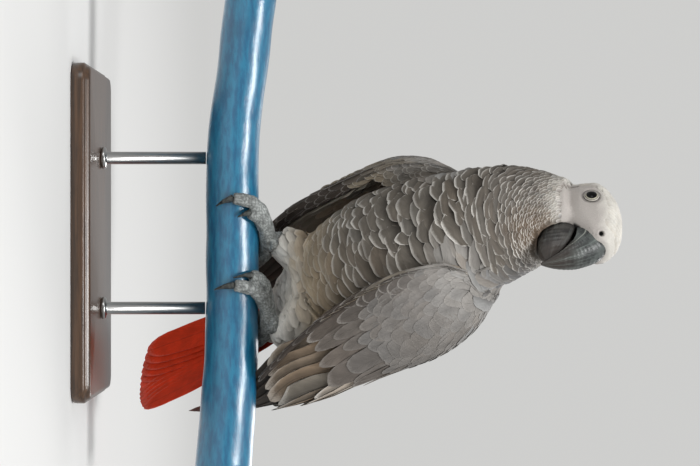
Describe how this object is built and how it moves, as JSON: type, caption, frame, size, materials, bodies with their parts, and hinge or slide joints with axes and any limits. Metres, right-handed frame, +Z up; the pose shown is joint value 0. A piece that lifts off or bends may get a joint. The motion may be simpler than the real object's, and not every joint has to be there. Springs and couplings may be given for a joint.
{
  "type": "grey parrot",
  "caption": "Still, life-size grey parrot that grips a short cut length of painted branch and looks back over its left shoulder, held up by a plain display stand.",
  "frame": {"origin": "centre of the underside of the stand's base", "axes": "+Z up, X along the branch, -Y out of the branch's front, where the bird's toes come down and its breast looks"},
  "size_m": [0.3, 0.1832, 0.3412],
  "materials": {
    "feather_head": "matte white and pale grey feathers and bare white face",
    "feather_body": "matte grey feathers with pale edges",
    "feather_leg": "soft pale grey feathers",
    "feather_covert": "smooth light grey feathers",
    "feather_flight": "smooth brownish grey flight feathers",
    "feather_primary": "smooth dark flight feathers",
    "feather_tail": "smooth red tail feathers",
    "bill": "satin slate horn",
    "eye": "wet gloss",
    "foot_skin": "matte scaly grey skin",
    "claw": "satin dark horn",
    "perch_paint": "glossy blue paint over wood",
    "stand_wood": "satin dark wood",
    "stand_steel": "brushed"
  },
  "bodies": {
    "root": {"head": "feather_head", "neck": "feather_body", "trunk": "feather_body", "thigh_left": "feather_leg", "thigh_right": "feather_leg", "wing_left_coverts": "feather_covert", "wing_left_secondaries": "feather_flight", "wing_left_primaries": "feather_primary", "wing_right_coverts": "feather_covert", "wing_right_secondaries": "feather_flight", "wing_right_primaries": "feather_primary", "tail": "feather_tail", "bill_upper": "bill", "bill_lower": "bill", "eye_left": "eye", "eye_right": "eye", "foot_left": "foot_skin", "foot_right": "foot_skin", "claw_left_outer_front": "claw", "claw_left_inner_front": "claw", "claw_left_outer_back": "claw", "claw_left_inner_back": "claw", "claw_right_outer_front": "claw", "claw_right_inner_front": "claw", "claw_right_outer_back": "claw", "claw_right_inner_back": "claw", "perch": "perch_paint", "stand_base": "stand_wood", "stand_rod_left": "stand_steel", "stand_rod_right": "stand_steel"}
  },
  "joints": []
}
